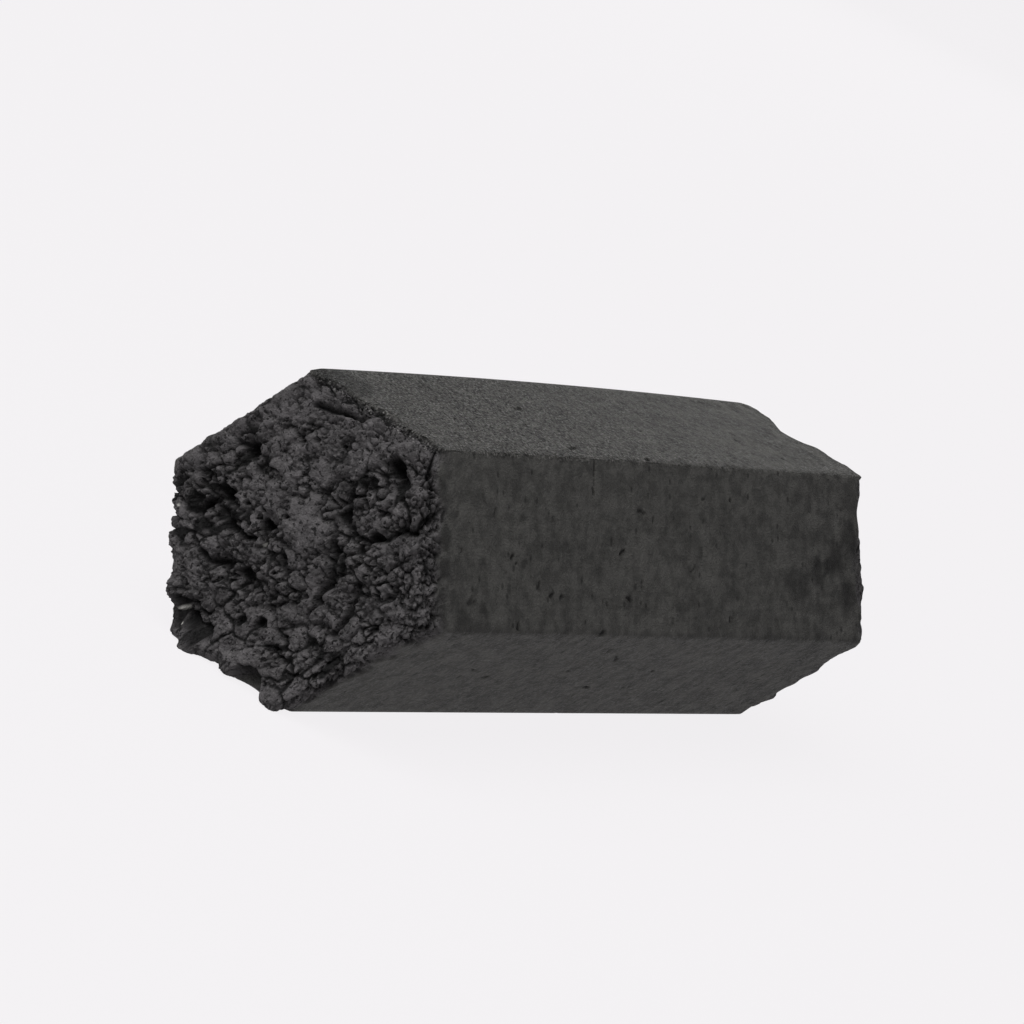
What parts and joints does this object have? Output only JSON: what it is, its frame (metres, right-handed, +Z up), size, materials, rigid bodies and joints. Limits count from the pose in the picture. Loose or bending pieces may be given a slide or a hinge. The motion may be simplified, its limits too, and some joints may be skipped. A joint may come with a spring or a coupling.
{
  "type": "hexagonal charcoal briquette",
  "caption": "Solid six-sided stick of pressed charcoal with smooth flat sides and crumbly broken ends, lying on one side.",
  "frame": {"origin": "on the resting face, under the middle of the briquette's box", "axes": "+X along the stick, away from its crumblier end; +Z up from the face it lies on"},
  "size_m": [0.1098, 0.0414, 0.0366],
  "materials": {
    "charcoal": "matt black-grey pressed charcoal: fine dusty grain on the sides, crumbly with dark crevices at the ends"
  },
  "bodies": {
    "root": {"briquette": "charcoal"}
  },
  "joints": []
}
